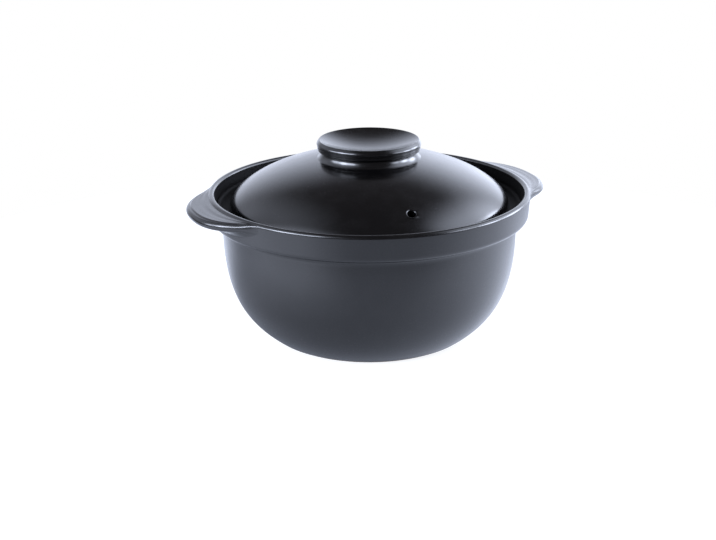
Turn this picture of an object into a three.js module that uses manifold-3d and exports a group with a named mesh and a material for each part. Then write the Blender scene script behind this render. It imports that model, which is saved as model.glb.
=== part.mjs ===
// Covered clay cooking pot: a jiggered bowl with a raised rim that the lid sits down inside, two pressed
// lugs luted to the band under the lip, and a domed lid with a steam vent and a luted, dished knob.
// Millimetres, +Z up. The origin is the centre of the foot ring on the table, and the lugs lie along X.

import * as THREE from 'three';
import { mergeVertices } from 'three/addons/utils/BufferGeometryUtils.js';
import Module from 'manifold-3d';

// Mouth, lid seat and rim, from the inside outwards
const mouthDiameter = 180;
const mouthRound = 1.2;
const seatWidth = 5.2; // ring of the ledge that the lid covers
const moatWidth = 10.3; // open channel between the lid's edge and the rim
const moatDepth = 10.5; // lip down to the ledge
const moatFillet = 2.5;
const rimLean = 1.5; // how far the rim's inner face comes in on its way down
const lipThickness = 4.5;
const neckDepth = 7; // upright wall of the mouth under the ledge
const neckFairing = 8.8; // height in which the neck opens out to the belly

// Band under the lip
const bandHeight = 17; // lip down to the band's lower edge
const bandTaper = 1.3;
const bandRound = 1.8;
const bandStep = 7.9; // overhang of the band's lower edge over the belly
const bandCove = 4;

// Belly, floor and foot
const potHeight = 102; // table to lip
const uprightWall = 5.3; // straight stretch of the belly under the cove
const bellyTopPull = 45; // pull of the curve downwards from the upright wall
const bellyFootPull = 21.3; // pull of the curve outwards from the foot
const bellyFootAngle = 36; // degrees above level at the foot
const bellyWall = 7;
const cavityWallPull = 41.5;
const cavityFloorPull = 24;
const floorThickness = 6.5;
const floorInset = 13.6; // the level floor ends this far inside the belly's foot
const footDiameter = 139.2; // where the belly meets the foot ring
const footHeight = 2;
const footLean = 3.4;
const footEdge = 0.8;
const footRingWidth = 7;
const footRecess = 2.5;

// Lugs
const lugReach = 16.8;
const lugSpan = 58.7; // degrees of rim that the whole outline would take
const lugFullness = 2.8; // how broad the lug's nose is
const lugFade = 2.15; // how softly its shoulders run out into the band
const lugFeather = 0.8; // reach at which the shoulders end
const lugShelf = 1.3; // lug's top under the crest of the lip
const lugSag = 1.8; // fall of the lug's top from the lip to its nose
const lugNose = 5.7; // thickness of the rounded nose
const lugToe = 0.6; // lug's root above the band's rounded edge
const fluteCount = 2.5; // waves of the lug's top from the lip to its nose
const fluteLead = 0.4; // share of a wave before the lip, so that a groove lies beside it
const fluteDepth = 0.2;

// Lid
const domeRise = 35.2; // seat up to the crown
const domeShoulder = 10.3; // pull of the dome upwards from the lid's edge
const domeCrownPull = 56.6; // pull of the dome level from its crown
const lidEdgeRound = 2.4;
const lidWall = 5.5;
const hollowShoulder = 11;
const hollowCrownPull = 50;
const flangePlay = 1.2; // radial play of the locating flange in the mouth
const flangeWall = 4;
const flangeDepth = 4;
const ventDiameter = 5.6;
const ventChamfer = 0.9;
const ventInset = 12.5; // vent's centre inside the lid's edge
const ventAngle = -93; // degrees round from +X
const ventOvercut = 4; // length of the drill beyond the wall on each side

// Knob
const knobDiameter = 71;
const knobRise = 9; // crown up to the knob's crest
const knobCrest = 0.5; // radius of the crest round the dish
const knobBevel = 40; // degrees of slope of the bevel outside the crest
const knobBevelWidth = 1.5;
const knobEdge = 2.3; // radius of the edge between the bevel and the side
const knobSide = 2.9; // height of the upright side
const knobTuck = 0.6; // how far the side draws in above the groove
const knobTuckDrop = 1.4; // height in which it draws in
const knobNeckDiameter = 66; // bottom of the groove
const knobNeckRise = 0.9; // crown up to the bottom of the groove
const knobCovePull = 1.5; // pull of the groove downwards to the foot
const knobFootDiameter = 70.8;
const knobDishDepth = 7;

// Clearances where pieces meet
const seatGap = 0.3; // lid on its ledge
const slipGap = 0.3; // luted pieces on what carries them

// Facets
const bowlSides = 56;
const knobSides = 44;
const ventSides = 20;
const longCurve = 9;
const shortCurve = 3;
const lipCurve = 6;
const lugTopSteps = 12;
const lugStations = 24;
const samePoint = 1e-4; // points of a profile nearer than this are one
const halvings = 40;

// Radii and heights that follow
const mouthRadius = mouthDiameter / 2;
const lidRadius = mouthRadius + seatWidth;
const rimInnerRadius = lidRadius + moatWidth;
const rimRadius = rimInnerRadius + lipThickness;
const lipRound = lipThickness / 2;
const lipCentreZ = potHeight - lipRound;
const ledgeZ = potHeight - moatDepth;
const moatRadius = rimInnerRadius - rimLean;
const bandLowRadius = rimRadius - bandTaper;
const bandLowZ = potHeight - bandHeight;
const bellyRadius = bandLowRadius - bandStep;
const bellyTopZ = bandLowZ - bandCove - uprightWall;
const footRadius = footDiameter / 2;
const footRingRadius = footRadius - footLean;
const footInnerRadius = footRingRadius - footRingWidth;
const floorZ = footRecess + floorThickness;
const floorRadius = footRadius - floorInset;
const cavityRadius = bellyRadius - bellyWall;
const neckZ = ledgeZ - neckDepth;
const cavityTopZ = neckZ - neckFairing;
const flangeRadius = mouthRadius - flangePlay;
const hollowRadius = flangeRadius - flangeWall;
const knobRadius = knobDiameter / 2;
const knobNeckRadius = knobNeckDiameter / 2;
const knobFootRadius = knobFootDiameter / 2;

const radians = THREE.MathUtils.degToRad;
const at = (radius, height) => new THREE.Vector2(radius, height);

const glaze = new THREE.MeshStandardMaterial({ color: 0x2a2b30, roughness: 0.34, metalness: 0 });

// Points of a circular arc in a profile, from one angle to another in degrees.
function arc(centre, radius, from, to, steps) {
  const curve = new THREE.EllipseCurve(
    centre.x, centre.y, radius, radius, radians(from), radians(to), to < from,
  );
  return curve.getPoints(steps);
}

function bezier(start, startPull, endPull, end, steps = longCurve) {
  return new THREE.CubicBezierCurve(start, startPull, endPull, end).getPoints(steps);
}

// A solid of revolution about Z, without the points where one stretch of the profile repeats the last.
function turned(stretches, sides) {
  const isNew = (point, i, all) => i === 0 || point.distanceTo(all[i - 1]) > samePoint;
  const profile = stretches.flat().filter(isNew);
  return new THREE.LatheGeometry(profile, sides).rotateX(Math.PI / 2);
}

function bowlGeometry() {
  const bellyFoot = at(footRadius, footHeight);
  const bellyFootHandle = at(
    footRadius + bellyFootPull * Math.cos(radians(bellyFootAngle)),
    footHeight + bellyFootPull * Math.sin(radians(bellyFootAngle)),
  );
  const bellyTop = at(bellyRadius, bellyTopZ);
  const cavityTop = at(cavityRadius, cavityTopZ);
  const fairingMid = (neckZ + cavityTopZ) / 2;
  return turned(
    [
      [at(0, footRecess), at(footInnerRadius - footEdge, footRecess), at(footInnerRadius, 0)],
      [at(footRingRadius - footEdge, 0), at(footRingRadius, footEdge)],
      bezier(bellyFoot, bellyFootHandle, at(bellyRadius, bellyTopZ - bellyTopPull), bellyTop),
      arc(at(bellyRadius + bandCove, bandLowZ - bandCove), bandCove, 180, 90, shortCurve),
      arc(at(bandLowRadius - bandRound, bandLowZ + bandRound), bandRound, -90, 0, shortCurve),
      arc(at(rimRadius - lipRound, lipCentreZ), lipRound, 0, 180, lipCurve),
      arc(at(moatRadius - moatFillet, ledgeZ + moatFillet), moatFillet, 0, -90, shortCurve),
      arc(at(mouthRadius + mouthRound, ledgeZ - mouthRound), mouthRound, 90, 180, shortCurve),
      bezier(
        at(mouthRadius, neckZ), at(mouthRadius, fairingMid), at(cavityRadius, fairingMid), cavityTop,
        shortCurve,
      ),
      bezier(
        cavityTop, at(cavityRadius, cavityTopZ - cavityWallPull),
        at(floorRadius + cavityFloorPull, floorZ), at(floorRadius, floorZ),
      ),
      [at(0, floorZ)],
    ],
    bowlSides,
  );
}

// Outer face of the band at a height: a plain taper between its lower edge and the lip.
function bandRadiusAt(height) {
  const low = bandLowZ + bandRound;
  return THREE.MathUtils.mapLinear(height, low, lipCentreZ, bandLowRadius, rimRadius);
}

// One upright section of the lug as points of radius and height. Swell is 1 at the nose and falls to 0
// along the shoulders, where the root draws up from the band's lower edge to the thickness of the nose.
function lugSection(swell) {
  const topZ = potHeight - lugShelf;
  const noseZ = topZ - lugSag * swell;
  const rootZ = THREE.MathUtils.lerp(topZ - lugNose, bandLowZ + bandRound + lugToe, Math.sqrt(swell));
  const lipAngle = THREE.MathUtils.radToDeg(Math.asin((topZ - lipCentreZ) / (lipRound + slipGap)));
  const lipFace = arc(at(rimRadius - lipRound, lipCentreZ), lipRound + slipGap, 0, lipAngle, shortCurve);
  const topRoot = lipFace.pop();
  const lowRoot = at(bandRadiusAt(rootZ) + slipGap, rootZ);
  const reach = lugReach * swell;
  const noseDepth = Math.min(lugNose, reach) / 2;
  const noseCentre = at(topRoot.x + reach - noseDepth, noseZ - lugNose / 2);
  const points = [topRoot];
  for (let i = 1; i < lugTopSteps; i += 1) {
    const along = i / lugTopSteps;
    const groove = fluteDepth * swell * Math.sin(Math.PI * (fluteCount * along + fluteLead)) ** 2;
    const radius = THREE.MathUtils.lerp(topRoot.x, noseCentre.x, along);
    points.push(at(radius, THREE.MathUtils.lerp(topZ, noseZ, along) - groove));
  }
  const round = new THREE.EllipseCurve(
    noseCentre.x, noseCentre.y, noseDepth, lugNose / 2, Math.PI / 2, -Math.PI / 2, true,
  );
  points.push(...round.getPoints(lipCurve));
  const lowNose = points.pop();
  const underPull = at(lowRoot.x + noseDepth * swell, lowNose.y);
  points.push(...new THREE.QuadraticBezierCurve(lowNose, underPull, lowRoot).getPoints(shortCurve + 1));
  return points.concat(lipFace);
}

// The lug on the +X side: sections lofted round the band, each end closed by a fan from its middle.
function lugGeometry() {
  const endSwell = lugFeather / lugReach;
  const halfSpan = radians(lugSpan / 2);
  const endAngle = halfSpan * (1 - endSwell ** (1 / lugFade)) ** (1 / lugFullness);
  const positions = [];
  const indices = [];
  let ring = 0;
  for (let i = 0; i <= lugStations; i += 1) {
    const angle = THREE.MathUtils.lerp(-endAngle, endAngle, i / lugStations);
    const swell = (1 - Math.abs(angle / halfSpan) ** lugFullness) ** lugFade;
    const section = lugSection(swell);
    ring = section.length;
    for (const p of section) {
      positions.push(p.x * Math.cos(angle), p.x * Math.sin(angle), p.y);
    }
  }
  for (let i = 0; i < lugStations; i += 1) {
    for (let k = 0; k < ring; k += 1) {
      const a = i * ring + k;
      const b = i * ring + ((k + 1) % ring);
      indices.push(a, b, a + ring, b, b + ring, a + ring);
    }
  }
  for (const first of [0, lugStations * ring]) {
    const hub = positions.length / 3;
    const middle = new THREE.Vector3();
    for (let k = 0; k < ring; k += 1) {
      middle.add(new THREE.Vector3().fromArray(positions, 3 * (first + k)));
      const pair = [first + k, first + ((k + 1) % ring)];
      if (first === 0) pair.reverse();
      indices.push(hub, ...pair);
    }
    positions.push(...middle.divideScalar(ring).toArray());
  }
  const geometry = new THREE.BufferGeometry();
  geometry.setAttribute('position', new THREE.Float32BufferAttribute(positions, 3));
  geometry.setIndex(indices);
  return geometry;
}

// The lid's frame has its origin on the axis in the plane of its seat.
const domeCurve = new THREE.CubicBezierCurve(
  at(lidRadius, lidEdgeRound), at(lidRadius, lidEdgeRound + domeShoulder),
  at(domeCrownPull, domeRise), at(0, domeRise),
);

// Parameter of the dome's curve at a radius, by halving, since the radius falls steadily along it.
function domeParameterAt(radius) {
  let low = 0;
  let high = 1;
  for (let i = 0; i < halvings; i += 1) {
    const middle = (low + high) / 2;
    if (domeCurve.getPoint(middle).x > radius) low = middle;
    else high = middle;
  }
  return low;
}

function lidGeometry() {
  const flangeRound = flangeWall / 2;
  return turned(
    [
      bezier(
        at(0, domeRise - lidWall), at(hollowCrownPull, domeRise - lidWall),
        at(hollowRadius, hollowShoulder), at(hollowRadius, 0),
      ),
      arc(at(flangeRadius - flangeRound, flangeRound - flangeDepth), flangeRound, 180, 360, lipCurve),
      [at(flangeRadius, 0)],
      arc(at(lidRadius - lidEdgeRound, lidEdgeRound), lidEdgeRound, -90, 0, shortCurve),
      domeCurve.getPoints(longCurve + shortCurve),
    ],
    bowlSides,
  );
}

// A drill with a chamfered mouth, square to the dome at the vent.
function ventDrill() {
  const bore = ventDiameter / 2;
  const length = lidWall + 2 * ventOvercut;
  const drill = turned(
    [
      [at(0, -length), at(bore, -length), at(bore, -ventChamfer), at(bore + ventChamfer, 0)],
      [at(bore + ventChamfer, ventOvercut), at(0, ventOvercut)],
    ],
    ventSides,
  );
  const t = domeParameterAt(lidRadius - ventInset);
  const point = domeCurve.getPoint(t);
  const along = domeCurve.getTangent(t);
  const round = radians(ventAngle);
  const outward = new THREE.Vector3(along.y * Math.cos(round), along.y * Math.sin(round), -along.x);
  const turn = new THREE.Quaternion().setFromUnitVectors(new THREE.Vector3(0, 0, 1), outward);
  const place = new THREE.Vector3(point.x * Math.cos(round), point.x * Math.sin(round), point.y);
  return drill.applyMatrix4(new THREE.Matrix4().compose(place, turn, new THREE.Vector3(1, 1, 1)));
}

// The knob's frame has its origin on the dome's crown, and its underside follows the dome.
function knobGeometry() {
  const underside = [];
  for (let i = 0; i <= shortCurve; i += 1) {
    const radius = (knobFootRadius * i) / shortCurve;
    underside.push(at(radius, domeCurve.getPoint(domeParameterAt(radius)).y - domeRise));
  }
  const foot = underside.at(-1);
  const bevel = radians(knobBevel);
  const crestZ = knobRise - knobCrest;
  const edgeZ = crestZ + (knobCrest - knobEdge) * Math.sin(bevel) - knobBevelWidth * Math.cos(bevel);
  const edge = at(knobRadius - knobEdge, edgeZ);
  const crestX = edge.x + (knobEdge - knobCrest) * Math.cos(bevel) - knobBevelWidth * Math.sin(bevel);
  const sideLow = at(knobRadius, edgeZ - knobSide);
  const tuck = at(knobRadius - knobTuck, sideLow.y - knobTuckDrop);
  const neck = at(knobNeckRadius, knobNeckRise);
  const half = neck.clone().lerp(tuck, 0.5);
  const dishReach = (crestX ** 2 + knobDishDepth ** 2) / (2 * knobDishDepth);
  const dishRadius = dishReach - knobCrest;
  const dishTurn = THREE.MathUtils.radToDeg(Math.asin(crestX / dishReach));
  return turned(
    [
      underside,
      bezier(
        foot, at((foot.x + neck.x) / 2, foot.y + knobCovePull / 2), at(neck.x, neck.y - knobCovePull), neck,
        shortCurve + 1,
      ),
      bezier(neck, at(neck.x, half.y), half, tuck, shortCurve),
      bezier(
        tuck, at(knobRadius - knobTuck / 3, tuck.y + knobTuck / 2),
        at(knobRadius, sideLow.y - knobTuckDrop / 2), sideLow, shortCurve,
      ),
      arc(edge, knobEdge, 0, knobBevel, shortCurve),
      arc(at(crestX, crestZ), knobCrest, knobBevel, 90 + dishTurn, shortCurve),
      arc(
        at(0, knobRise - knobDishDepth + dishRadius), dishRadius, dishTurn - 90, -90,
        longCurve - shortCurve,
      ),
    ],
    knobSides,
  );
}

const wasm = await Module();
wasm.setup();

// A closed geometry as a solid that can be cut.
function solid(geometry) {
  geometry.deleteAttribute('normal');
  geometry.deleteAttribute('uv');
  const welded = mergeVertices(geometry);
  return new wasm.Manifold(
    new wasm.Mesh({
      numProp: 3,
      vertProperties: welded.attributes.position.array,
      triVerts: new Uint32Array(welded.index.array),
    }),
  );
}

function geometryOf(cut) {
  const { vertProperties, triVerts } = cut.getMesh();
  const geometry = new THREE.BufferGeometry();
  geometry.setAttribute('position', new THREE.Float32BufferAttribute(vertProperties, 3));
  geometry.setIndex(Array.from(triVerts));
  return geometry;
}

function piece(name, geometry) {
  geometry.computeVertexNormals();
  const mesh = new THREE.Mesh(geometry, glaze);
  mesh.name = name;
  return mesh;
}

const pot = new THREE.Group();
const rightLug = piece('right_lug_handle', lugGeometry());
const leftLug = piece('left_lug_handle', lugGeometry());
leftLug.rotation.z = Math.PI;
pot.add(piece('pot_body', bowlGeometry()), rightLug, leftLug);

const lid = new THREE.Group();
const knob = piece('lid_knob', knobGeometry());
knob.position.z = domeRise + slipGap;
lid.add(piece('lid_dome', geometryOf(solid(lidGeometry()).subtract(solid(ventDrill())))), knob);
lid.position.z = ledgeZ + seatGap;

const coveredPot = new THREE.Group();
coveredPot.add(pot, lid);

export default coveredPot;
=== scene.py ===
"""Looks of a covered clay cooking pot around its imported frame: thrown bowl, pressed lugs, lid and knob."""

import math

import bpy
from bpy.props import FloatProperty, FloatVectorProperty, PointerProperty
from bpy.types import Operator, Panel, PropertyGroup
from mathutils import Matrix, Vector
from mathutils.geometry import interpolate_bezier


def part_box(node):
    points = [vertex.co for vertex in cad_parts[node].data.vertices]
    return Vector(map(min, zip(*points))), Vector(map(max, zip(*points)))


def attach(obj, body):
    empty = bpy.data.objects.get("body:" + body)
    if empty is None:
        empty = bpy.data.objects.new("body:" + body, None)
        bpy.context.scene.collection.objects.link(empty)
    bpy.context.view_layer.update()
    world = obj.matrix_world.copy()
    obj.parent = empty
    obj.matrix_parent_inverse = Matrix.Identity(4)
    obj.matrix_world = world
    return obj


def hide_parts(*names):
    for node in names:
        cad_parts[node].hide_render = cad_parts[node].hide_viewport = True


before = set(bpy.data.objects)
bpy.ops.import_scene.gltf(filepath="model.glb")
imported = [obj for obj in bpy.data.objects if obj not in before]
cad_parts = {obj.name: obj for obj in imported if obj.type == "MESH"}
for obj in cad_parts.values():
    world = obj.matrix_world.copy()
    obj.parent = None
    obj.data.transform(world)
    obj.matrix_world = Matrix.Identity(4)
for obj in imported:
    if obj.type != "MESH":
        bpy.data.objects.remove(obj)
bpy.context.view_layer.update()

bl_info = {
    "name": "Covered clay pot",
    "version": (1, 0, 0),
    "blender": (4, 5, 0),
    "location": "View3D > Sidebar > Clay pot",
    "description": "Throws a covered clay cooking pot piece by piece and sets a studio stage for it",
    "category": "Object",
}

BOWL_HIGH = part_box("pot_body")[1]
LUG_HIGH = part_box("right_lug_handle")[1]
LID_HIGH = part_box("lid_dome")[1]
KNOB_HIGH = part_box("lid_knob")[1]

FRAME_PIXELS = (716, 540)
TURN = 2 * math.pi
MERGE = 1e-6
LONGEST_STEP = 0.0016
SIDES = 256
KNOB_SIDES = 192

# Lights as directions turned from the camera's side and lifted, inner and outer angle, and strength
LIGHTS = (
    (-42, 19, 4, 13, 20.0),
    (-62, 17, 4, 14, 32.0),
    (-84, 12, 4, 14, 13.0),
    (-58, 26, 6, 36, 1.7),
    (-62, -6, 6, 26, 1.1),
    (66, 12, 4, 13, 11.0),
    (91, 9, 4, 13, 24.0),
    (118, 8, 5, 16, 11.0),
    (100, 25, 4, 44, 5.2),
    (96, -8, 10, 36, 1.1),
    (-98, 32, 14, 46, 1.1),
    (140, 8, 14, 42, 2.0),
    (-150, 8, 10, 40, 0.45),
    (180, 2, 10, 48, 1.3),
)

# Pools of light on the floor as direction, distance from the axis, size and strength, which is below 0 for a shade
POOLS = (
    (-56, 0.32, 0.26, 0.70),
    (86, 0.27, 0.30, 0.62),
    (-84, 0.16, 0.17, -0.20),
    (-138, 0.24, 0.20, 0.30),
)


# Sizes and colours that a user would change

def length(name, default, description):
    """A size in metres."""
    return FloatProperty(name=name, description=description, default=default, unit="LENGTH", precision=4)


def angle(name, degrees, description):
    """An angle that is given in degrees."""
    return FloatProperty(name=name, description=description, default=math.radians(degrees), subtype="ANGLE")


def share(name, default, description):
    """A plain number from 0 to 1."""
    return FloatProperty(name=name, description=description, default=default, min=0.0, max=1.0, subtype="FACTOR")


def amount(name, default, description):
    """A plain number."""
    return FloatProperty(name=name, description=description, default=default)


def colour(name, default, description):
    """A colour without alpha."""
    return FloatVectorProperty(
        name=name, description=description, default=default, size=3, min=0.0, max=1.0, subtype="COLOR"
    )


class BowlSizes(PropertyGroup):
    """Sizes of the thrown bowl."""

    height: length("Height", BOWL_HIGH.z, "Table to lip")
    rim_radius: length("Rim radius", BOWL_HIGH.x, "Axis to the outside of the lip")
    lip: length("Lip", 0.0045, "Thickness of the rounded lip")
    ledge_depth: length("Ledge depth", 0.0105, "Lip down to the ledge that the lid sits on")
    mouth_radius: length("Mouth radius", 0.090, "Radius of the mouth inside the ledge")
    rim_lean: length("Rim lean", 0.0015, "How far the rim's inner face comes in on its way down")
    band_height: length("Band height", 0.0187, "Lip down to the band's lower edge")
    band_taper: length("Band taper", 0.0013, "How far the band draws in towards its lower edge")
    band_step: length("Band step", 0.0079, "Overhang of the band over the belly")
    foot_radius: length("Foot radius", 0.0696, "Where the belly meets the foot ring")
    wall: length("Wall", 0.007, "Thickness of the belly's wall")
    floor: length("Floor", 0.0065, "Thickness of the bowl's floor")


class LugSizes(PropertyGroup):
    """Sizes of the pressed lugs."""

    reach: length("Reach", LUG_HIGH.x - BOWL_HIGH.x, "How far the lug stands out beyond the rim")
    span: angle("Span", 58.7, "Angle of rim that the whole outline takes")
    fullness: amount("Fullness", 2.8, "How broad the lug's nose is")
    fade: amount("Fade", 2.15, "How softly the shoulders run out into the band")
    shelf: length("Shelf", 0.0013, "Lug's top under the crest of the lip")
    sag: length("Sag", 0.0018, "Fall of the lug's top from the lip to its nose")
    nose: length("Nose", 0.0057, "Thickness of the rounded nose")
    toe: length("Toe", 0.0039, "Lug's root above the band's lower edge")
    flutes: amount("Flutes", 2.5, "Waves of the lug's top from the lip to its nose")
    flute_lead: share("Flute lead", 0.4, "Share of a wave before the lip, so that a groove lies beside it")
    flute_depth: length("Flute depth", 0.0002, "Depth of a groove")


class LidSizes(PropertyGroup):
    """Sizes of the thrown lid."""

    radius: length("Radius", LID_HIGH.x, "Axis to the lid's edge")
    wall: length("Wall", 0.0055, "Thickness of the dome")
    edge: length("Edge", 0.0019, "Radius of the rounded edge")
    flange_depth: length("Flange depth", 0.004, "How far the locating flange hangs below the seat")
    vent_radius: length("Vent radius", 0.0028, "Radius of the steam vent")
    vent_round: length("Vent round", 0.0009, "Radius of the vent's softened rim")
    vent_inset: length("Vent inset", 0.0125, "Vent's centre inside the lid's edge")
    vent_angle: angle("Vent angle", -93, "Direction of the vent round from +X")


class KnobSizes(PropertyGroup):
    """Sizes of the turned knob."""

    radius: length("Radius", KNOB_HIGH.x, "Axis to the outside of the knob")
    crest: length("Crest", 0.0005, "Radius of the crest round the dish")
    bevel: angle("Bevel", 40, "Slope of the bevel outside the crest")
    bevel_width: length("Bevel width", 0.0015, "Width of the bevel")
    edge: length("Edge", 0.0023, "Radius of the edge between the bevel and the side")
    side: length("Side", 0.0029, "Height of the side under its edge")
    side_lean: angle("Side lean", 9, "How far the side leans in on its way down")
    tuck: length("Tuck", 0.0006, "How far the side draws in above the groove")
    tuck_drop: length("Tuck drop", 0.0014, "Height in which the side draws in")
    neck_radius: length("Neck radius", 0.033, "Axis to the bottom of the groove")
    neck_drop: length("Neck drop", 0.0081, "Crest down to the bottom of the groove")
    cove_pull: length("Cove pull", 0.0015, "Pull of the groove downwards to the foot")
    foot_radius: length("Foot radius", 0.0354, "Axis to the knob's foot on the dome")
    dish_depth: length("Dish depth", 0.007, "Depth of the hollow in the knob's top")


class GlazeLook(PropertyGroup):
    """Colours and gloss of the glaze and the bare clay."""

    black: colour("Black", (0.0014, 0.0013, 0.0014), "Main colour of the glaze")
    cloud: colour("Cloud", (0.0024, 0.0022, 0.0023), "Paler clouds in the glaze")
    thin: colour("Thin glaze", (0.0080, 0.0070, 0.0064), "Colour where the glaze thins over an edge")
    bowl_gloss: share("Bowl roughness", 0.24, "Roughness of the satin glaze on the bowl")
    cover_gloss: share("Cover roughness", 0.22, "Roughness of the satin glaze on the lid and its knob")
    coat: share("Glassy coat", 0.18, "Share of the clear skin on the glaze")
    clay: colour("Clay", (0.155, 0.105, 0.070), "Colour of the bare clay at the foot")


class StageLook(PropertyGroup):
    """Camera, lights and floor."""

    azimuth: angle("Azimuth", -22, "Direction of the camera round the pot")
    distance: length("Distance", 0.947, "Level distance of the camera from the axis")
    camera_height: length("Camera height", 0.369, "Height of the camera above the floor")
    pitch: angle("Pitch", 19.03, "How far the camera looks down")
    yaw: angle("Yaw", 0.485, "How far the camera looks to the left of the axis")
    roll: angle("Roll", -0.42, "Turn of the camera about its own axis")
    focal_pixels: amount("Focal length", 1434.0, "Focal length in pixels of the frame")
    floor: colour("Floor", (0.25, 0.26, 0.28), "Colour of the floor")
    floor_glow: amount("Floor glow", 2.0, "Light that the floor gives off by itself")
    floor_radius: length("Floor radius", 0.42, "Axis to the edge of the round floor")
    light: colour("Light", (0.77, 0.835, 1.0), "Colour of the studio's lights")
    dim: colour("Dim", (1.0, 0.94, 1.0), "Colour of the dim parts of the room")
    room: amount("Room", 0.115, "Brightness of the dim parts of the room")


class ClayPotSettings(PropertyGroup):
    """All settings of the pot."""

    bowl: PointerProperty(type=BowlSizes)
    lug: PointerProperty(type=LugSizes)
    lid: PointerProperty(type=LidSizes)
    knob: PointerProperty(type=KnobSizes)
    glaze: PointerProperty(type=GlazeLook)
    stage: PointerProperty(type=StageLook)


# Shaders

class Field:
    """A shader socket that takes part in sums as a number does."""

    def __init__(self, tree, socket=None):
        self.tree = tree
        self.socket = socket

    def node(self, kind, settings=None, sockets=None, output=0):
        """Add any node: its settings first, then the values or links of its sockets."""
        made = self.tree.nodes.new(kind)
        for name, value in (settings or {}).items():
            setattr(made, name, value)
        for key, value in (sockets or {}).items():
            if isinstance(value, Field):
                self.tree.links.new(value.socket, made.inputs[key])
            else:
                made.inputs[key].default_value = value
        return Field(self.tree, made.outputs[output] if made.outputs else None)

    def also(self, output):
        """Another output of the same node."""
        return Field(self.tree, self.socket.node.outputs[output])

    def maths(self, operation, *values):
        """A Math node on values or sockets."""
        return self.node("ShaderNodeMath", {"operation": operation}, dict(enumerate(values)))

    def __add__(self, other):
        return self.maths("ADD", self, other)

    def __sub__(self, other):
        return self.maths("SUBTRACT", self, other)

    def __rsub__(self, other):
        return self.maths("SUBTRACT", other, self)

    def __mul__(self, other):
        return self.maths("MULTIPLY", self, other)

    def __truediv__(self, other):
        return self.maths("DIVIDE", self, other)

    def __pow__(self, other):
        return self.maths("POWER", self, other)

    __radd__ = __add__
    __rmul__ = __mul__

    def ease(self, low, high):
        """0 below low and 1 above high, with a soft step between them."""
        settings = {"interpolation_type": "SMOOTHSTEP"}
        return self.node("ShaderNodeMapRange", settings, {"Value": self, "From Min": low, "From Max": high})

    def mix(self, first, second):
        """Mix two colours by this share."""
        sockets = {0: self, 6: first, 7: second}
        return self.node("ShaderNodeMix", {"data_type": "RGBA"}, sockets, output=2)


def opaque(rgb):
    """A colour with full alpha."""
    return (*rgb, 1.0)


def noise(field, place, scale, detail=2.0, roughness=0.5):
    """Cloudy noise on a place in metres."""
    sockets = {"Vector": place, "Scale": scale, "Detail": detail, "Roughness": roughness}
    return field.node("ShaderNodeTexNoise", {"noise_dimensions": "3D"}, sockets)


def new_material(name):
    """An empty node material and a field to add its nodes with."""
    material = bpy.data.materials.new(name)
    material.use_nodes = True
    material.node_tree.nodes.clear()
    return material, Field(material.node_tree)


def satin_glaze(name, look, gloss, ring_slope, thin_rings):
    """Satin black glaze with faint turning rings, clouds, fine specks and thin glaze on the named rings.

    ring_slope says which way the outline runs: heights and radii grow together at 1, and apart at -1.
    thin_rings holds (radius, height, width) of the edges that the glaze has drawn back from.
    """
    material, field = new_material(name)
    place = field.node("ShaderNodeTexCoord", output="Object")
    x = field.node("ShaderNodeSeparateXYZ", sockets={0: place})
    y, z = x.also(1), x.also(2)
    radius = (x * x + y * y) ** 0.5

    clouds = noise(field, place, 95.0, 5.0, 0.55)
    grain = noise(field, place, 1900.0, 2.0, 0.5)
    peel = noise(field, place, 420.0, 2.0, 0.45)
    along = z + radius * ring_slope
    rings = field.node(
        "ShaderNodeTexNoise", {"noise_dimensions": "1D"}, {"W": along * 330.0, "Scale": 1.0, "Detail": 2.0}
    )
    specks = noise(field, place, 1250.0, 1.0, 0.5).ease(0.70, 0.76)

    thin = 0.0
    for ring_radius, ring_height, width in thin_rings:
        across, up = radius - ring_radius, z - ring_height
        thin = thin + (1 - ((across * across + up * up) ** 0.5).ease(0.2 * width, width))

    tint = clouds.ease(0.42, 0.66).mix(opaque(look.black), opaque(look.cloud))
    tint = (specks * 0.35).mix(tint, opaque(look.thin))
    if thin_rings:
        tint = (thin * peel.ease(0.2, 0.75) * 0.75).mix(tint, opaque(look.thin))
    rough = gloss + (clouds - 0.5) * 0.10 + (grain - 0.5) * 0.05 + specks * 0.06
    relief = rings * 0.55 + peel * 0.30 + grain * 0.05
    bump = field.node("ShaderNodeBump", None, {"Strength": 0.22, "Distance": 0.00011, "Height": relief})
    skin = field.node(
        "ShaderNodeBsdfPrincipled",
        None,
        {
            "Base Color": tint,
            "Roughness": rough,
            "Normal": bump,
            "IOR": 1.45,
            "Coat Weight": look.coat,
            "Coat Roughness": 0.1,
            "Coat IOR": 1.5,
        },
    )
    field.node("ShaderNodeOutputMaterial", None, {"Surface": skin})
    return material


def unglazed_painted_shade(name, look):
    """Dry ground of the channel and the ledge, wiped free of glaze so that the lid can't stick, and coloured with the
    glaze's near-black as painted shade in the deep channel.
    """
    material, field = new_material(name)
    place = field.node("ShaderNodeTexCoord", output="Object")
    grit = noise(field, place, 900.0, 3.0, 0.6)
    tint = grit.ease(0.35, 0.75).mix(opaque(look.black), opaque(look.cloud))
    bump = field.node("ShaderNodeBump", None, {"Strength": 0.3, "Distance": 0.0001, "Height": grit})
    sockets = {"Base Color": tint, "Roughness": 0.55 + grit * 0.1, "Specular IOR Level": 0.05, "Normal": bump}
    field.node("ShaderNodeOutputMaterial", None, {"Surface": field.node("ShaderNodeBsdfPrincipled", None, sockets)})
    return material


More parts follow.
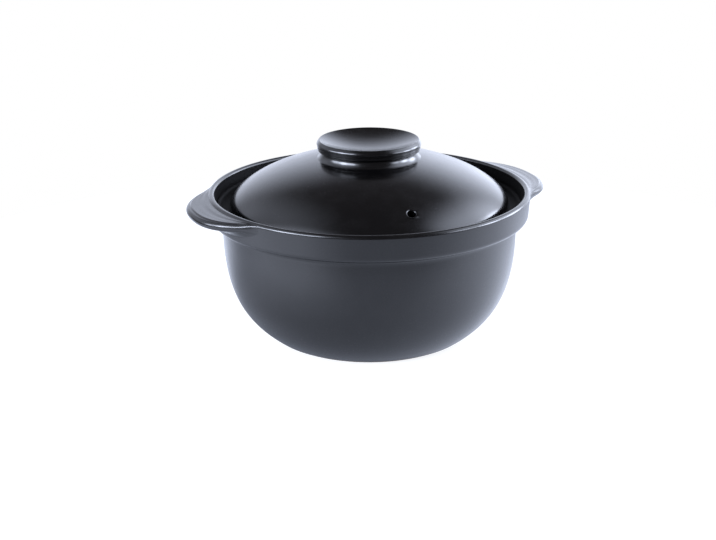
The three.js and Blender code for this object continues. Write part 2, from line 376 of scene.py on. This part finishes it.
def bare_clay(name, look):
    """Fired clay with no glaze, ground flat where the pot stands."""
    material, field = new_material(name)
    place = field.node("ShaderNodeTexCoord", output="Object")
    body = noise(field, place, 260.0, 4.0, 0.6)
    grit = noise(field, place, 1500.0, 3.0, 0.6)
    dark = tuple(0.55 * c for c in look.clay)
    tint = body.ease(0.3, 0.7).mix(opaque(dark), opaque(look.clay))
    tint = grit.ease(0.62, 0.72).mix(tint, opaque(look.thin))
    bump = field.node("ShaderNodeBump", None, {"Strength": 0.5, "Distance": 0.00018, "Height": grit + body * 0.5})
    skin = field.node(
        "ShaderNodeBsdfPrincipled", None, {"Base Color": tint, "Roughness": 0.82 + grit * 0.12, "Normal": bump}
    )
    field.node("ShaderNodeOutputMaterial", None, {"Surface": skin})
    return material


# Outlines, as points of radius and height

def arc(centre, radius, start, end, steps):
    """Points of a circular arc from one angle to another, in degrees."""
    points = []
    for i in range(steps + 1):
        turn = math.radians(start + (end - start) * i / steps)
        points.append(Vector((centre[0] + radius * math.cos(turn), centre[1] + radius * math.sin(turn))))
    return points


def sweep(start, start_pull, end_pull, end, steps):
    """Points of a pulled curve."""
    return interpolate_bezier(*(Vector(p) for p in (start, start_pull, end_pull, end)), steps + 1)


def outline(*stretches):
    """One line through all stretches, with repeated points dropped and long steps parted."""
    line = []
    for point in (Vector(p) for stretch in stretches for p in stretch):
        if line and (point - line[-1]).length < 10 * MERGE:
            continue
        if line:
            last = line[-1].copy()
            parts = math.ceil((point - last).length / LONGEST_STEP)
            line.extend(last.lerp(point, i / parts) for i in range(1, parts))
        line.append(point)
    return line


class BowlForm:
    """Radii and heights of the bowl that follow from its sizes."""

    cove = 0.0041
    upright = 0.0035
    band_edge = 0.0037

    def __init__(self, bowl):
        self.lip_round = bowl.lip / 2
        self.lip_z = bowl.height - self.lip_round
        self.lip_radius = bowl.rim_radius - self.lip_round
        self.rim_radius = bowl.rim_radius
        self.ledge_z = bowl.height - bowl.ledge_depth
        self.moat_radius = bowl.rim_radius - bowl.lip - bowl.rim_lean
        self.band_low_radius = bowl.rim_radius - bowl.band_taper
        self.band_low_z = bowl.height - bowl.band_height
        self.belly_radius = self.band_low_radius - bowl.band_step
        self.belly_top_z = self.band_low_z - self.cove - self.upright

    def face_radius(self, height):
        """Outer face of the band and of the lip's round at a height."""
        over = height - self.lip_z
        if over > 0:
            return self.lip_radius + math.sqrt(self.lip_round**2 - over**2)
        up = (height - self.band_low_z) / (self.lip_z - self.band_low_z)
        return self.band_low_radius + (self.rim_radius - self.band_low_radius) * up

    def band_face(self):
        """The band's rounded lower edge and its face up to the lip's round."""
        lean = math.atan((self.rim_radius - self.band_low_radius) / (self.lip_z - self.band_low_z))
        low = self.band_low_z + self.band_edge * (1 - math.sin(lean))
        centre = (self.face_radius(low) - self.band_edge * math.cos(lean), self.band_low_z + self.band_edge)
        heights = [low + (self.lip_z - low) * i / 24 for i in range(25)]
        return arc(centre, self.band_edge, -90, -math.degrees(lean), 12) + [(self.face_radius(h), h) for h in heights]


def bowl_outline(bowl, form):
    """The bowl from the middle of its underside, up the outside and down the inside."""
    foot, foot_rise, foot_lean, foot_edge, ring, recess = bowl.foot_radius, 0.002, 0.0034, 0.0008, 0.007, 0.0025
    ring_radius = foot - foot_lean
    ring_inner = ring_radius - ring
    recess_run, recess_pull, ring_start = 0.0026, 0.0009, 0.0004
    edge_run, edge_rise = 0.0003, 0.0004
    foot_pull, foot_turn, top_pull = 0.0213, math.radians(36), 0.045
    fillet, mouth_round, neck, fairing = 0.0025, 0.0012, 0.007, 0.0088
    neck_z = form.ledge_z - neck
    cavity_z = neck_z - fairing
    cavity = form.belly_radius - bowl.wall
    floor_z = recess + bowl.floor
    floor_inset, wall_pull, floor_pull = 0.0136, 0.0415, 0.024
    floor_radius = foot - floor_inset
    half_z = (neck_z + cavity_z) / 2
    pull = (foot + foot_pull * math.cos(foot_turn), foot_rise + foot_pull * math.sin(foot_turn))
    return outline(
        [(0, recess)],
        sweep(
            (ring_inner - recess_run, recess), (ring_inner - recess_pull, recess),
            (ring_inner - recess_pull, 0), (ring_inner + ring_start, 0), 8,
        ),
        arc((ring_radius - foot_edge, foot_edge), foot_edge, -90, -10, 6),
        [(ring_radius + edge_run, foot_edge + edge_rise)],
        sweep((foot, foot_rise), pull, (form.belly_radius, form.belly_top_z - top_pull),
              (form.belly_radius, form.belly_top_z), 72),
        arc((form.belly_radius + form.cove, form.band_low_z - form.cove), form.cove, 180, 90, 12),
        form.band_face(),
        arc((form.lip_radius, form.lip_z), form.lip_round, 0, 180, 22),
        arc((form.moat_radius - fillet, form.ledge_z + fillet), fillet, 0, -90, 9),
        arc((bowl.mouth_radius + mouth_round, form.ledge_z - mouth_round), mouth_round, 90, 180, 7),
        sweep((bowl.mouth_radius, neck_z), (bowl.mouth_radius, half_z), (cavity, half_z), (cavity, cavity_z), 10),
        sweep((cavity, cavity_z), (cavity, cavity_z - wall_pull), (floor_radius + floor_pull, floor_z),
              (floor_radius, floor_z), 60),
        [(0, floor_z)],
    )


class LidForm:
    """Curves of the lid, with heights from the floor."""

    seat_gap, flange_gap, flange_wall = 0.0003, 0.0012, 0.004
    edge_draw, shoulder_pull, crown_pull = 0.0014, 0.0106, 0.0566
    hollow_pull, hollow_drop = 0.05, 0.011

    def __init__(self, lid, bowl, form):
        self.seat_z = form.ledge_z + self.seat_gap
        self.crown_z = LID_HIGH.z
        self.flange = bowl.mouth_radius - self.flange_gap
        self.hollow = self.flange - self.flange_wall
        edge_z = self.seat_z + lid.edge
        self.dome = (
            (lid.radius, edge_z),
            (lid.radius - self.edge_draw, edge_z + self.shoulder_pull),
            (self.crown_pull, self.crown_z),
            (0, self.crown_z),
        )
        hollow_z = self.crown_z - lid.wall
        self.inside = (
            (0, hollow_z),
            (self.hollow_pull, hollow_z),
            (self.hollow, self.seat_z + self.hollow_drop),
            (self.hollow, self.seat_z),
        )

    @staticmethod
    def point_on(curve, t):
        """Point of a pulled curve."""
        a, b, c, d = (Vector(p) for p in curve)
        s = 1 - t
        return s * s * s * a + 3 * s * s * t * b + 3 * s * t * t * c + t * t * t * d

    def height_on(self, curve, radius):
        """Height of a curve at a radius, by halving."""
        low, high = (0.0, 1.0) if curve[0][0] > curve[3][0] else (1.0, 0.0)
        for _ in range(40):
            middle = (low + high) / 2
            if self.point_on(curve, middle).x > radius:
                low = middle
            else:
                high = middle
        return self.point_on(curve, low).y


def lid_outline(lid, form):
    """The lid from the middle of its hollow, round its flange and edge and over the dome."""
    flange_round, seat_drop, seat_run = 0.002, 0.0006, 0.0004
    return outline(
        sweep(*form.inside, 64),
        arc((form.hollow + flange_round, form.seat_z + flange_round - lid.flange_depth), flange_round, 180, 360, 18),
        [(form.flange, form.seat_z - seat_drop)],
        [(form.flange + seat_run, form.seat_z)],
        arc((lid.radius - lid.edge, form.seat_z + lid.edge), lid.edge, -90, 0, 12),
        sweep(*form.dome, 84),
    )


def knob_outline(knob, lid_form):
    """The knob from the middle of its underside, round its groove, side and crest and into its dish."""
    bury = 0.0006
    foot = Vector((knob.foot_radius, lid_form.height_on(lid_form.dome, knob.foot_radius)))
    top_z = KNOB_HIGH.z
    rise, run = math.sin(knob.bevel), math.cos(knob.bevel)
    crest_z = top_z - knob.crest
    edge = Vector((knob.radius - knob.edge, crest_z + (knob.crest - knob.edge) * rise - knob.bevel_width * run))
    crest_x = edge.x + (knob.edge - knob.crest) * run - knob.bevel_width * rise
    side_low = Vector((knob.radius - knob.side * math.tan(knob.side_lean), edge.y - knob.side))
    tuck = side_low - Vector((knob.tuck, knob.tuck_drop))
    neck = Vector((knob.neck_radius, top_z - knob.neck_drop))
    half = neck.lerp(tuck, 0.5)
    dish_reach = (crest_x**2 + knob.dish_depth**2) / (2 * knob.dish_depth)
    dish_radius = dish_reach - knob.crest
    dish_turn = math.degrees(math.asin(crest_x / dish_reach))
    return outline(
        [(0, foot.y - bury), (foot.x, foot.y - bury)],
        sweep(foot, ((foot.x + neck.x) / 2, foot.y + knob.cove_pull / 4), (neck.x, neck.y - knob.cove_pull), neck, 18),
        sweep(neck, (neck.x, half.y), half, tuck, 12),
        sweep(tuck, tuck + Vector((2 * knob.tuck / 3, knob.tuck / 2)),
              side_low - Vector((0, knob.tuck_drop / 2)), side_low, 10),
        arc(edge, knob.edge, -math.degrees(knob.side_lean), math.degrees(knob.bevel), 12),
        arc((crest_x, crest_z), knob.crest, math.degrees(knob.bevel), 90 + dish_turn, 10),
        arc((0, top_z - knob.dish_depth + dish_radius), dish_radius, dish_turn - 90, -90, 48),
    )


# Modelling

def deselect():
    """Leave nothing selected, in object mode."""
    if bpy.context.object and bpy.context.object.mode != "OBJECT":
        bpy.ops.object.mode_set(mode="OBJECT")
    bpy.ops.object.select_all(action="DESELECT")


def start_line(point):
    """Add one vertex to the mesh in edit mode: a small plane drawn together to a point."""
    bpy.ops.mesh.primitive_plane_add(size=MERGE, location=point)
    bpy.ops.mesh.merge(type="CENTER")


def draw_line(points):
    """Draw a line through points by extruding one vertex after another."""
    start_line(points[0])
    for last, point in zip(points, points[1:]):
        bpy.ops.mesh.extrude_vertices_move(TRANSFORM_OT_translate={"value": point - last})


def new_piece(name):
    """A piece with an empty mesh, open in edit mode with vertices selectable."""
    deselect()
    bpy.ops.mesh.primitive_plane_add(size=0.01, location=(0, 0, 0))
    piece = bpy.context.object
    piece.name = name
    piece.data.name = name
    bpy.ops.object.mode_set(mode="EDIT")
    bpy.ops.mesh.select_mode(type="VERT")
    bpy.ops.mesh.delete(type="VERT")
    return piece


def weld():
    """Merge doubles and point every face outwards."""
    bpy.ops.mesh.select_all(action="SELECT")
    bpy.ops.mesh.remove_doubles(threshold=MERGE)
    bpy.ops.mesh.normals_make_consistent(inside=False)
    bpy.ops.mesh.select_all(action="DESELECT")


def throw(name, line, sides, heading=0.0):
    """Turn an outline round the pot's axis into a closed piece, left in edit mode."""
    piece = new_piece(name)
    across = Vector((math.cos(heading), math.sin(heading), 0))
    draw_line([across * p.x + Vector((0, 0, p.y)) for p in line])
    bpy.ops.mesh.select_all(action="SELECT")
    bpy.ops.mesh.spin(steps=sides, angle=TURN, center=(0, 0, 0), axis=(0, 0, 1))
    weld()
    return piece


def select_faces(piece, wanted):
    """In edit mode, select the faces for which wanted(face) is true."""
    bpy.ops.mesh.select_all(action="DESELECT")
    bpy.ops.object.mode_set(mode="OBJECT")
    for face in piece.data.polygons:
        face.select = wanted(face)
    bpy.ops.object.mode_set(mode="EDIT")
    bpy.ops.mesh.select_mode(type="FACE")


def select_vertices(piece, wanted):
    """In edit mode, select the vertices for whose place wanted(place) is true."""
    bpy.ops.mesh.select_all(action="DESELECT")
    bpy.ops.mesh.select_mode(type="VERT")
    bpy.ops.object.mode_set(mode="OBJECT")
    for vertex in piece.data.vertices:
        vertex.select = wanted(vertex.co)
    bpy.ops.object.mode_set(mode="EDIT")


def add_modifier(piece, kind, **settings):
    """Add a modifier to a piece and apply it."""
    bpy.context.view_layer.objects.active = piece
    bpy.ops.object.modifier_add(type=kind)
    modifier = piece.modifiers[-1]
    for name, value in settings.items():
        setattr(modifier, name, value)
    bpy.ops.object.modifier_apply(modifier=modifier.name)


def finish_piece(piece, body, slot, *nodes):
    """Smooth a piece and hand it to the frame."""
    deselect()
    bpy.context.view_layer.objects.active = piece
    piece.select_set(True)
    bpy.ops.object.shade_smooth()
    bpy.ops.object.select_all(action="DESELECT")
    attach(piece, body)
    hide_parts(*nodes)


def bowl_glaze(look, thin_rings=()):
    """The glaze of the bowl and its lugs, made once."""
    return bpy.data.materials.get("satin_bowl") or satin_glaze("satin_bowl", look, look.bowl_gloss, 1.0, thin_rings)


def cover_glaze(look):
    """The glaze of the lid and its knob, made once."""
    return bpy.data.materials.get("satin_cover") or satin_glaze("satin_cover", look, look.cover_gloss, -1.0, ())


class CLAYPOT_OT_bowl(Operator):
    """Throw the bowl with its foot ring, band, lip, channel and ledge"""

    bl_idname = "clay_pot.bowl"
    bl_label = "Throw bowl"

    def execute(self, context):
        settings = context.scene.clay_pot
        bowl, form = settings.bowl, BowlForm(settings.bowl)
        piece = throw("bowl", bowl_outline(bowl, form), SIDES)
        lip_ring = (form.lip_radius, form.lip_z + 0.8 * form.lip_round, 0.0016)
        piece.data.materials.append(bowl_glaze(settings.glaze, [lip_ring]))
        piece.data.materials.append(bare_clay("bare_clay", settings.glaze))
        # The third slot is unglazed ground coloured near black as painted shade; it covers the ledge and the rim's
        # inner wall up to just above the lip's middle.
        piece.data.materials.append(unglazed_painted_shade("unglazed_painted_shade", settings.glaze))
        stand, over_edge, up_lip, into_lip = 0.0005, 0.0012, 0.0009, 0.0002
        wiped_shade_z = (form.ledge_z - over_edge, form.lip_z + up_lip)
        wiped_shade_radius = (bowl.mouth_radius, bowl.rim_radius - bowl.lip + into_lip)
        for index, wanted in (
            (1, lambda face: face.center.z < stand),
            (2, lambda face: wiped_shade_z[0] < face.center.z < wiped_shade_z[1]
             and wiped_shade_radius[0] < face.center.xy.length < wiped_shade_radius[1]),
        ):
            select_faces(piece, wanted)
            piece.active_material_index = index
            bpy.ops.object.material_slot_assign()
        finish_piece(piece, "pot", "pot_glaze", "pot_body")
        return {"FINISHED"}


def soft_max(first, second, blend):
    """The greater of two heights, with a fillet where they cross."""
    near = max(blend - abs(first - second), 0) / blend
    return max(first, second) + near * near * blend / 4


class LugForm:
    """Sections of the lug, which run out into the band and the lip as its swell falls from 1 to 0."""

    fillet, sink, bury = 0.0007, 0.00012, 0.0016

    def __init__(self, lug, form):
        self.lug, self.form = lug, form
        self.top_z = form.lip_z + form.lip_round - lug.shelf
        self.low_z = form.band_low_z + lug.toe
        self.nose_z = self.top_z - lug.sag - lug.nose / 2
        self.reach = form.rim_radius + lug.reach - form.face_radius(self.nose_z)
        self.top = self.full_top()

    def full_top(self):
        """Top of the section at the nose: off the lip's round, over the flutes, to the start of the nose."""
        lug, form = self.lug, self.form
        start = form.lip_radius + form.lip_round / 2
        root = form.face_radius(self.top_z)
        end = form.rim_radius + lug.reach - lug.nose / 2
        points, steps = [], 44
        for i in range(steps):
            radius = start + (end - start) * (i / steps) ** 1.5
            out = max((radius - root) / (end - root), 0)
            groove = lug.flute_depth * math.sin(math.pi * (lug.flutes * out + lug.flute_lead)) ** 2
            over = min(radius - form.lip_radius, form.lip_round)
            lip = form.lip_z + math.sqrt(form.lip_round**2 - over**2)
            points.append(Vector((radius, soft_max(self.top_z - lug.sag * out - groove, lip, self.fillet))))
        return points

    def section(self, swell):
        """One upright section, closed inside the band's wall."""
        lug, face = self.lug, self.form.face_radius
        reach = self.reach * swell
        depth = min(lug.nose, reach) / 2
        drawn_in = (reach - depth) / (self.reach - lug.nose / 2)
        nose_top = self.top_z - lug.sag * swell
        points = []
        for i, full in enumerate(self.top):
            rest = self.top[0].y + (self.top_z - self.top[0].y) * i / len(self.top)
            height = rest + (full.y - rest) * swell
            points.append(Vector((face(height) + (full.x - face(full.y)) * drawn_in, height)))
        for i in range(19):
            turn = math.radians(90 - 180 * i / 18)
            fall = lug.nose / 2 * (1 - math.sin(turn))
            full_z = self.top_z - lug.sag - fall
            skew = (face(self.nose_z) - face(full_z)) * swell
            height = nose_top - fall
            points.append(Vector((face(height) + reach - depth * (1 - math.cos(turn)) + skew, height)))
        low = points.pop()
        root_z = low.y + (self.low_z - low.y) * math.sqrt(swell)
        root = Vector((face(root_z), root_z))
        pull = Vector((face(low.y) + 2 * depth * swell, low.y - 0.3 * (low.y - root_z)))
        for i in range(17):
            t = i / 16
            points.append((1 - t) ** 2 * low + 2 * t * (1 - t) * pull + t * t * root)
        for point in points:
            point.x -= self.sink
        points.append(Vector((root.x - self.bury, root_z)))
        points.append(Vector((root.x - self.bury, (root_z + self.form.lip_z) / 2)))
        points.append(Vector((self.form.lip_radius, self.form.lip_z + self.form.lip_round / 3)))
        return points


class CLAYPOT_OT_lugs(Operator):
    """Press the two fluted lugs and lute them to the band"""

    bl_idname = "clay_pot.lugs"
    bl_label = "Press lugs"

    def execute(self, context):
        settings = context.scene.clay_pot
        lug = settings.lug
        form = LugForm(lug, BowlForm(settings.bowl))
        stations, last_swell = 40, 0.002
        last = (1 - last_swell ** (1 / lug.fade)) ** (1 / lug.fullness)
        right = new_piece("right_lug")
        for i in range(stations + 1):
            share_out = last * i / stations
            turn = lug.span / 2 * share_out
            swell = (1 - share_out**lug.fullness) ** lug.fade
            across = Vector((math.cos(turn), math.sin(turn), 0))
            ring = [across * p.x + Vector((0, 0, p.y)) for p in form.section(swell)]
            draw_line(ring + ring[:1])
        bpy.ops.mesh.select_all(action="SELECT")
        bpy.ops.mesh.remove_doubles(threshold=MERGE)
        bpy.ops.mesh.select_all(action="SELECT")
        bpy.ops.mesh.bridge_edge_loops()
        select_vertices(right, lambda co: abs(math.atan2(co.y, co.x) - lug.span / 2 * last) < 1e-3)
        bpy.ops.mesh.edge_face_add()
        weld()
        deselect()
        right.select_set(True)
        add_modifier(right, "MIRROR", use_axis=(False, True, False), merge_threshold=10 * MERGE)
        add_modifier(right, "SUBSURF", levels=1, render_levels=1)
        right.data.materials.append(bowl_glaze(settings.glaze))
        bpy.ops.object.duplicate(linked=False)
        left = context.object
        left.name = left.data.name = "left_lug"
        left.rotation_euler.z = math.pi
        bpy.ops.object.transform_apply(rotation=True)
        finish_piece(right, "pot", "pot_glaze", "right_lug_handle")
        finish_piece(left, "pot", "pot_glaze", "left_lug_handle")
        return {"FINISHED"}


class Vent:
    """The steam vent: a block of the lid's skin is cut out and its edge drawn in to the round bore."""

    columns, rows = 6, 8

    def __init__(self, piece, lid, form, sides):
        self.piece, self.lid, self.form, self.sides = piece, lid, form, sides
        near = 1e-4
        radius = lid.radius - lid.vent_inset
        self.mouth = Vector((radius, form.height_on(form.dome, radius)))
        further = Vector((radius - near, form.height_on(form.dome, radius - near)))
        self.along = (further - self.mouth).normalized()
        self.out = Vector((-self.along.y, self.along.x))
        if self.out.y < 0:
            self.out = -self.out
        self.depth = lid.wall
        for _ in range(20):
            point = self.mouth - self.out * self.depth
            self.depth += (point.y - form.height_on(form.inside, point.x)) * self.out.y

    def place(self, depth):
        """Point of the vent's axis under the mouth."""
        flat = self.mouth - self.out * depth
        heading = self.lid.vent_angle
        return Vector((flat.x * math.cos(heading), flat.x * math.sin(heading), flat.y))

    def open_skin(self, depth):
        """Cut a block of faces out of the skin at a depth and select its edge."""
        skin = self.depth / 3
        middle = self.mouth - self.out * depth
        half = TURN / self.sides * self.columns / 2
        bpy.ops.object.mode_set(mode="OBJECT")
        near = []
        for face in self.piece.data.polygons:
            turn = math.remainder(math.atan2(face.center.y, face.center.x) - self.lid.vent_angle, TURN)
            flat = Vector((face.center.xy.length, face.center.z)) - middle
            if abs(turn) < half and abs(flat.dot(self.out)) < skin:
                near.append((abs(flat.dot(self.along)), face.index))
        block = {index for _, index in sorted(near)[: self.columns * self.rows]}
        bpy.ops.object.mode_set(mode="EDIT")
        select_faces(self.piece, lambda face: face.index in block)
        bpy.ops.mesh.delete(type="FACE")
        bpy.ops.mesh.select_mode(type="EDGE")
        bpy.ops.mesh.select_non_manifold(extend=False)

    def draw_in(self, radius, depth):
        """Extrude the selected edge of the hole and bring it to a circle about the axis."""
        bpy.ops.mesh.extrude_edges_move()
        bpy.ops.transform.tosphere(value=1.0)
        bpy.ops.object.mode_set(mode="OBJECT")
        places = [vertex.co.copy() for vertex in self.piece.data.vertices if vertex.select]
        bpy.ops.object.mode_set(mode="EDIT")
        middle = sum(places, Vector()) / len(places)
        scale = radius * len(places) / sum((place - middle).length for place in places)
        bpy.ops.transform.resize(value=(scale, scale, scale), center_override=middle)
        bpy.ops.transform.translate(value=self.place(depth) - middle)

    def bore(self):
        """Open both skins, round the edges of the holes and join them by the bore."""
        lid = self.lid
        support, steps = 0.0006, 5
        for skin, way, edge in ((self.depth, -1, lid.vent_round / 2), (0.0, 1, lid.vent_round)):
            self.open_skin(skin)
            self.draw_in(lid.vent_radius + edge + support, skin)
            for i in range(steps + 1):
                turn = math.pi / 2 * i / steps
                self.draw_in(lid.vent_radius + edge * (1 - math.sin(turn)), skin + way * edge * (1 - math.cos(turn)))
            bpy.ops.mesh.select_all(action="DESELECT")
            if way < 0:
                bpy.ops.mesh.select_non_manifold(extend=False)
                bpy.ops.mesh.hide(unselected=False)
        bpy.ops.mesh.reveal(select=False)
        bpy.ops.mesh.select_non_manifold(extend=False)
        bpy.ops.mesh.bridge_edge_loops()
        weld()


class CLAYPOT_OT_lid(Operator):
    """Throw the lid with its flange and bore the steam vent"""

    bl_idname = "clay_pot.lid"
    bl_label = "Throw lid"

    def execute(self, context):
        settings = context.scene.clay_pot
        lid = settings.lid
        form = LidForm(lid, settings.bowl, BowlForm(settings.bowl))
        piece = throw("lid", lid_outline(lid, form), SIDES, lid.vent_angle)
        Vent(piece, lid, form, SIDES).bore()
        piece.data.materials.append(cover_glaze(settings.glaze))
        finish_piece(piece, "lid", "lid_glaze", "lid_dome")
        return {"FINISHED"}


class CLAYPOT_OT_knob(Operator):
    """Turn the dished knob and lute it to the crown of the lid"""

    bl_idname = "clay_pot.knob"
    bl_label = "Turn knob"

    def execute(self, context):
        settings = context.scene.clay_pot
        form = LidForm(settings.lid, settings.bowl, BowlForm(settings.bowl))
        piece = throw("knob", knob_outline(settings.knob, form), KNOB_SIDES)
        piece.data.materials.append(cover_glaze(settings.glaze))
        finish_piece(piece, "lid", "lid_glaze", "lid_knob")
        return {"FINISHED"}


def towards(stage, turn, lift):
    """Direction that is turned from the camera's side of the pot and lifted, in degrees."""
    heading, rise = stage.azimuth + math.radians(turn), math.radians(lift)
    return Vector((math.sin(heading) * math.cos(rise), -math.cos(heading) * math.cos(rise), math.sin(rise)))


def studio_world(stage):
    """Soft studio light: strips of light at the left front and at the right, and pale walls behind.

    Below the horizon the lights go on at the sides and behind, but not on the camera's side.
    """
    front_edge, front_full, below, level = 0.6, 0.85, -0.12, 0.02
    world = bpy.data.worlds.new("studio")
    world.use_nodes = True
    world.node_tree.nodes.clear()
    field = Field(world.node_tree)
    x = field.node("ShaderNodeSeparateXYZ", sockets={0: field.node("ShaderNodeTexCoord", output="Generated")})
    y, z = x.also(1), x.also(2)
    glow = 0.0
    for turn, lift, inner, outer, strength in LIGHTS:
        way = towards(stage, turn, lift)
        facing = x * way.x + y * way.y + z * way.z
        glow = facing.ease(math.cos(math.radians(outer)), math.cos(math.radians(inner))) * strength + glow
    seen = field.node("ShaderNodeLightPath", output="Is Camera Ray")
    front = towards(stage, 0, 0)
    facing = x * front.x + y * front.y
    glow = glow * (1 - facing.ease(front_edge, front_full) * (1 - z.ease(below, level)))
    lamps = field.node("ShaderNodeBackground", None, {"Color": opaque(stage.light), "Strength": glow})
    room = field.node("ShaderNodeBackground", None, {"Color": opaque(stage.dim), "Strength": stage.room})
    lit = field.node("ShaderNodeAddShader", None, {0: lamps, 1: room})
    white = field.node("ShaderNodeBackground", None, {"Color": (1.0, 1.0, 1.0, 1.0), "Strength": 1.0})
    shown = field.node("ShaderNodeMixShader", None, {0: seen, 1: lit, 2: white})
    field.node("ShaderNodeOutputWorld", None, {"Surface": shown})
    return world


def floor_paper(name, stage):
    """White paper with pools of light, dim round the pot's foot, and evenly bright to the camera."""
    material, field = new_material(name)
    x = field.node("ShaderNodeSeparateXYZ", sockets={0: field.node("ShaderNodeTexCoord", output="Object")})
    y = x.also(1)
    radius = (x * x + y * y) ** 0.5
    under, beside, open_floor = 0.14, 0.145, 0.08
    glow = under + radius.ease(0.066, 0.104) * beside + radius.ease(0.08, 0.16) * open_floor
    for turn, distance, size, strength in POOLS:
        way = towards(stage, turn, 0) * distance
        across, along = x - way.x, y - way.y
        glow = glow + (1 - ((across * across + along * along) ** 0.5).ease(0.2 * size, size)) * strength
    pools = glow.mix((0.0, 0.0, 0.0, 1.0), opaque(stage.light))
    seen = field.node("ShaderNodeLightPath", output="Is Camera Ray")
    shown = (0.42, 0.42, 0.42, 1.0)
    sockets = {
        "Base Color": opaque(stage.floor),
        "Roughness": 0.9,
        "Specular IOR Level": 0.1,
        "Emission Color": seen.mix(pools, shown),
        "Emission Strength": stage.floor_glow,
    }
    paper = field.node("ShaderNodeBsdfPrincipled", None, sockets)
    field.node("ShaderNodeOutputMaterial", None, {"Surface": paper})
    return material


class CLAYPOT_OT_stage(Operator):
    """Set the floor, the lights and the camera"""

    bl_idname = "clay_pot.stage"
    bl_label = "Set stage"

    def execute(self, context):
        scene, stage = context.scene, context.scene.clay_pot.stage
        deselect()
        bpy.ops.mesh.primitive_circle_add(vertices=96, radius=stage.floor_radius, fill_type="NGON", location=(0, 0, 0))
        floor = context.object
        floor.name = "floor"
        floor.data.materials.append(floor_paper("floor_paper", stage))
        scene.world = studio_world(stage)
        scene.view_settings.view_transform = "Standard"

        level = Vector((math.sin(stage.azimuth), -math.cos(stage.azimuth), 0)) * stage.distance
        bpy.ops.object.camera_add(location=level + Vector((0, 0, stage.camera_height)))
        camera = context.object
        turn = Matrix.Rotation(stage.azimuth + stage.yaw, 4, "Z")
        tilt = Matrix.Rotation(math.pi / 2 - stage.pitch, 4, "X")
        camera.rotation_euler = (turn @ tilt @ Matrix.Rotation(stage.roll, 4, "Z")).to_euler()
        camera.data.sensor_fit = "HORIZONTAL"
        camera.data.lens = stage.focal_pixels * camera.data.sensor_width / FRAME_PIXELS[0]
        scene.camera = camera
        return {"FINISHED"}


OPERATORS = (CLAYPOT_OT_bowl, CLAYPOT_OT_lugs, CLAYPOT_OT_lid, CLAYPOT_OT_knob, CLAYPOT_OT_stage)


class CLAYPOT_PT_panel(Panel):
    """Lists the pieces of the pot and their settings"""

    bl_idname = "CLAYPOT_PT_panel"
    bl_label = "Clay pot"
    bl_space_type = "VIEW_3D"
    bl_region_type = "UI"
    bl_category = "Clay pot"

    def draw(self, context):
        settings = context.scene.clay_pot
        for operator in OPERATORS:
            self.layout.operator(operator.bl_idname)
        for name in ("bowl", "lug", "lid", "knob", "glaze", "stage"):
            box = self.layout.box()
            box.label(text=name.capitalize())
            group = getattr(settings, name)
            for prop in group.bl_rna.properties:
                if prop.identifier in group.__annotations__:
                    box.prop(group, prop.identifier)


GROUPS = (BowlSizes, LugSizes, LidSizes, KnobSizes, GlazeLook, StageLook, ClayPotSettings)
CLASSES = (*GROUPS, *OPERATORS, CLAYPOT_PT_panel)


def register():
    """Register the classes and hang the settings on the scene."""
    for cls in CLASSES:
        bpy.utils.register_class(cls)
    bpy.types.Scene.clay_pot = PointerProperty(type=ClayPotSettings)


def unregister():
    """Take the settings and the classes away again."""
    del bpy.types.Scene.clay_pot
    for cls in reversed(CLASSES):
        bpy.utils.unregister_class(cls)


def main():
    """Make every piece and the stage."""
    register()
    bpy.ops.clay_pot.bowl()
    bpy.ops.clay_pot.lugs()
    bpy.ops.clay_pot.lid()
    bpy.ops.clay_pot.knob()
    bpy.ops.clay_pot.stage()


if __name__ == "__main__":
    main()
